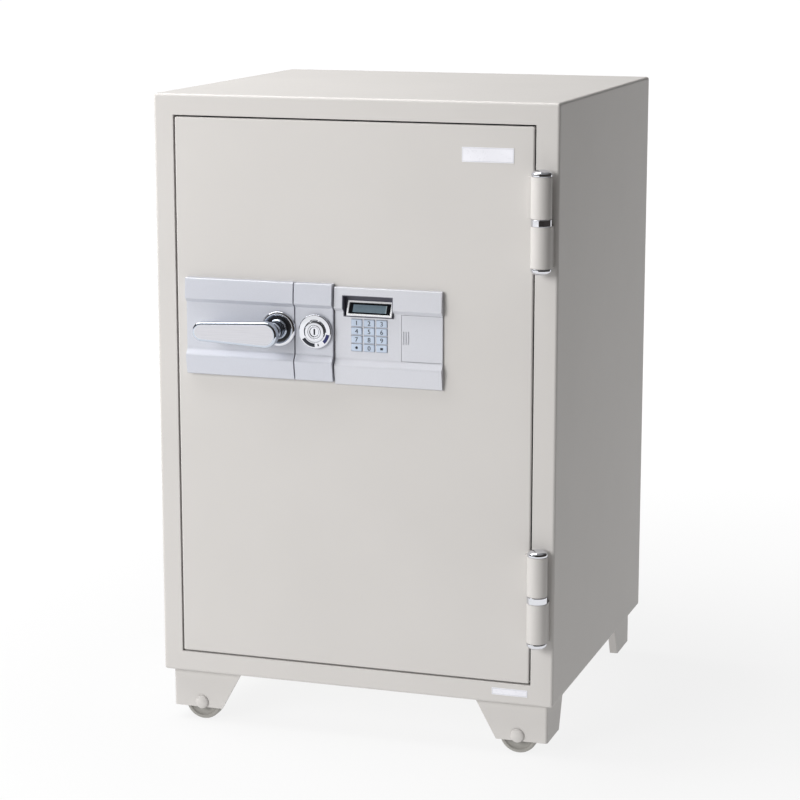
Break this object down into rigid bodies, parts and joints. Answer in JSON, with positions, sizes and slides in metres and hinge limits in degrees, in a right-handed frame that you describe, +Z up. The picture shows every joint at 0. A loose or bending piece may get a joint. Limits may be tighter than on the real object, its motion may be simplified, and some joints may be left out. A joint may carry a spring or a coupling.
{
  "type": "fireproof safe",
  "caption": "Free-standing fireproof document safe on castor feet with a hinged door, lever, key lock and keypad lock.",
  "frame": {"origin": "centre of the whole object's footprint, on the floor", "axes": "+Z up, -Y out of the front of the door, +X towards the hinge side"},
  "size_m": [0.58, 0.592, 0.906],
  "materials": {
    "paint": "fine textured powder coat, warm light grey",
    "insulation": "rough cast fireproof filling",
    "seal": "matt heat-swelling strip",
    "steel": "zinc plated, satin",
    "chrome": "polished",
    "lever_chrome": "polished with a satin face",
    "silver": "silver-blue metallic lacquer, satin",
    "housing": "silver lacquered plastic, satin",
    "keys": "pale blue translucent plastic",
    "black": "black, satin",
    "window": "clear display window",
    "board": "solder mask over glass fibre",
    "cells": "printed cell sleeve",
    "cable": "flexible sheath",
    "wheel": "grey nylon, worn tread",
    "label": "blank printed plate"
  },
  "bodies": {
    "body": {"outer_casing": "paint", "body_insulation": "insulation", "inner_liner": "paint", "front_frame": "paint", "door_seal": "seal", "bolt_keepers": "steel", "shelves": "paint", "shelf_pins": "steel", "feet": "paint", "castor_axles": "paint", "frame_knuckles": "paint", "hinge_pins": "chrome", "hinge_rings": "chrome", "rating_label": "label"},
    "door": {"door_skin": "paint", "door_insulation": "insulation", "door_back_cover": "paint", "cover_screws": "steel", "door_knuckles": "paint", "hinge_top_caps": "chrome", "fixed_bolts": "steel", "bolt_guides": "steel", "door_label": "label", "handle_plate": "silver", "handle_rose": "chrome", "key_plate": "silver", "key_cylinder": "chrome", "keypad_housing": "housing", "display_body": "black", "display_frame": "chrome", "display_window": "window", "circuit_board": "board", "battery_holder": "black", "batteries": "cells", "solenoid": "steel", "lock_cable": "cable"},
    "lever": {"lever_handle": "lever_chrome", "drive_spindle": "steel"},
    "bolt_carriage": {"bolt_bar": "steel", "bolts": "steel"},
    "key_lock": {"key_plug": "chrome", "lock_cam": "steel"},
    "plunger": {"solenoid_plunger": "steel"},
    "battery_hatch": {"battery_cover": "housing"},
    "castor_front_left": {"wheel_front_left": "wheel"},
    "castor_front_right": {"wheel_front_right": "wheel"},
    "castor_rear_left": {"wheel_rear_left": "wheel"},
    "castor_rear_right": {"wheel_rear_right": "wheel"},
    "button_1": {"key_1": "keys"},
    "button_2": {"key_2": "keys"},
    "button_3": {"key_3": "keys"},
    "button_4": {"key_4": "keys"},
    "button_5": {"key_5": "keys"},
    "button_6": {"key_6": "keys"},
    "button_7": {"key_7": "keys"},
    "button_8": {"key_8": "keys"},
    "button_9": {"key_9": "keys"},
    "button_star": {"key_star": "keys"},
    "button_0": {"key_0": "keys"},
    "button_hash": {"key_hash": "keys"}
  },
  "joints": [
    {"name": "door_swing", "type": "hinge", "parent": "body", "child": "door", "pos_m": [0.27, -0.2585, 0.49], "axis": [0, 0, 1], "range_deg": [0, 120]},
    {"name": "lever_turn", "type": "hinge", "parent": "door", "child": "lever", "pos_m": [-0.1044, -0.27, 0.587], "axis": [0, -1, 0], "range_deg": [0, 80]},
    {"name": "bolt_throw", "type": "slide", "parent": "door", "child": "bolt_carriage", "axis": [-1, 0, 0], "range_m": [0, 0.0254]},
    {"name": "key_turn", "type": "hinge", "parent": "door", "child": "key_lock", "pos_m": [-0.05, -0.255, 0.5862], "axis": [0, 1, 0], "range_deg": [0, 90]},
    {"name": "plunger_slide", "type": "slide", "parent": "door", "child": "plunger", "axis": [-1, 0, 0], "range_m": [0, 0.006]},
    {"name": "battery_hatch_slide", "type": "slide", "parent": "door", "child": "battery_hatch", "axis": [1, 0, 0], "range_m": [0, 0.06]},
    {"name": "castor_front_left_roll", "type": "hinge", "parent": "body", "child": "castor_front_left", "pos_m": [-0.237, -0.2175, 0.0275], "axis": [0, 1, 0], "continuous": true},
    {"name": "castor_front_right_roll", "type": "hinge", "parent": "body", "child": "castor_front_right", "pos_m": [0.237, -0.2175, 0.0275], "axis": [0, 1, 0], "continuous": true},
    {"name": "castor_rear_left_roll", "type": "hinge", "parent": "body", "child": "castor_rear_left", "pos_m": [-0.207, 0.2665, 0.0275], "axis": [0, 1, 0], "continuous": true},
    {"name": "castor_rear_right_roll", "type": "hinge", "parent": "body", "child": "castor_rear_right", "pos_m": [0.207, 0.2665, 0.0275], "axis": [0, 1, 0], "continuous": true},
    {"name": "button_1_press", "type": "slide", "parent": "door", "child": "button_1", "axis": [0, 1, 0], "range_m": [0, 0.0012], "stiffness_N_per_m": 500},
    {"name": "button_2_press", "type": "slide", "parent": "door", "child": "button_2", "axis": [0, 1, 0], "range_m": [0, 0.0012], "stiffness_N_per_m": 500},
    {"name": "button_3_press", "type": "slide", "parent": "door", "child": "button_3", "axis": [0, 1, 0], "range_m": [0, 0.0012], "stiffness_N_per_m": 500},
    {"name": "button_4_press", "type": "slide", "parent": "door", "child": "button_4", "axis": [0, 1, 0], "range_m": [0, 0.0012], "stiffness_N_per_m": 500},
    {"name": "button_5_press", "type": "slide", "parent": "door", "child": "button_5", "axis": [0, 1, 0], "range_m": [0, 0.0012], "stiffness_N_per_m": 500},
    {"name": "button_6_press", "type": "slide", "parent": "door", "child": "button_6", "axis": [0, 1, 0], "range_m": [0, 0.0012], "stiffness_N_per_m": 500},
    {"name": "button_7_press", "type": "slide", "parent": "door", "child": "button_7", "axis": [0, 1, 0], "range_m": [0, 0.0012], "stiffness_N_per_m": 500},
    {"name": "button_8_press", "type": "slide", "parent": "door", "child": "button_8", "axis": [0, 1, 0], "range_m": [0, 0.0012], "stiffness_N_per_m": 500},
    {"name": "button_9_press", "type": "slide", "parent": "door", "child": "button_9", "axis": [0, 1, 0], "range_m": [0, 0.0012], "stiffness_N_per_m": 500},
    {"name": "button_star_press", "type": "slide", "parent": "door", "child": "button_star", "axis": [0, 1, 0], "range_m": [0, 0.0012], "stiffness_N_per_m": 500},
    {"name": "button_0_press", "type": "slide", "parent": "door", "child": "button_0", "axis": [0, 1, 0], "range_m": [0, 0.0012], "stiffness_N_per_m": 500},
    {"name": "button_hash_press", "type": "slide", "parent": "door", "child": "button_hash", "axis": [0, 1, 0], "range_m": [0, 0.0012], "stiffness_N_per_m": 500}
  ],
  "couplings": [
    {"joint": "bolt_throw", "follows": "lever_turn", "m_per_rad": 0.018}
  ]
}
